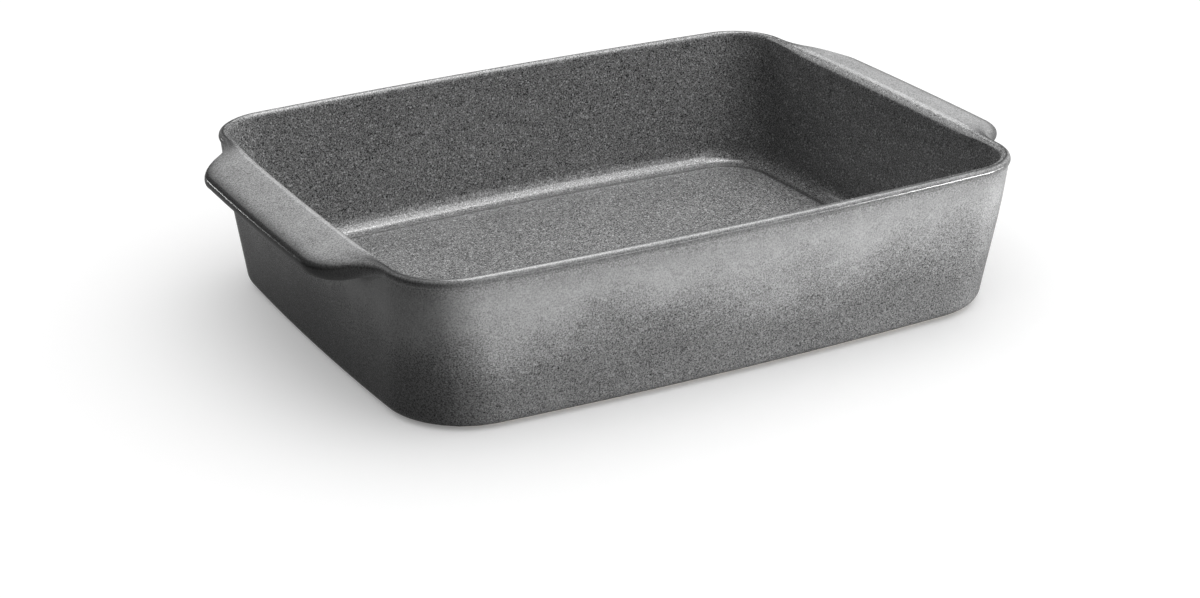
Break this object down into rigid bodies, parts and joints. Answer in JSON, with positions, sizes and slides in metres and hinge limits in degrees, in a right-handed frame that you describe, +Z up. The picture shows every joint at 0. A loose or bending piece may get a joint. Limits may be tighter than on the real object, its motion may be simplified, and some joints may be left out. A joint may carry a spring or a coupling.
{
  "type": "ceramic casserole dish",
  "caption": "Rectangular stoneware baking dish: flared walls, a rolled lip drawn out into a wing handle at each end, a coved floor and a low bare foot, open on top.",
  "frame": {"origin": "on the table, below the middle of the dish", "axes": "+X along the length towards the right handle, +Y across the dish towards the back, +Z up out of its mouth"},
  "size_m": [0.3602, 0.26, 0.075],
  "materials": {
    "clay": "fired stoneware, unglazed under the coat",
    "bare_clay": "bare fired stoneware, ground flat",
    "glaze": "satin grey glaze with fine pale and dark speckle"
  },
  "bodies": {
    "root": {"basin": "clay", "foot_ring": "bare_clay", "handle_left": "clay", "handle_right": "clay", "glaze_inside": "glaze", "glaze_outside": "glaze"}
  },
  "joints": []
}
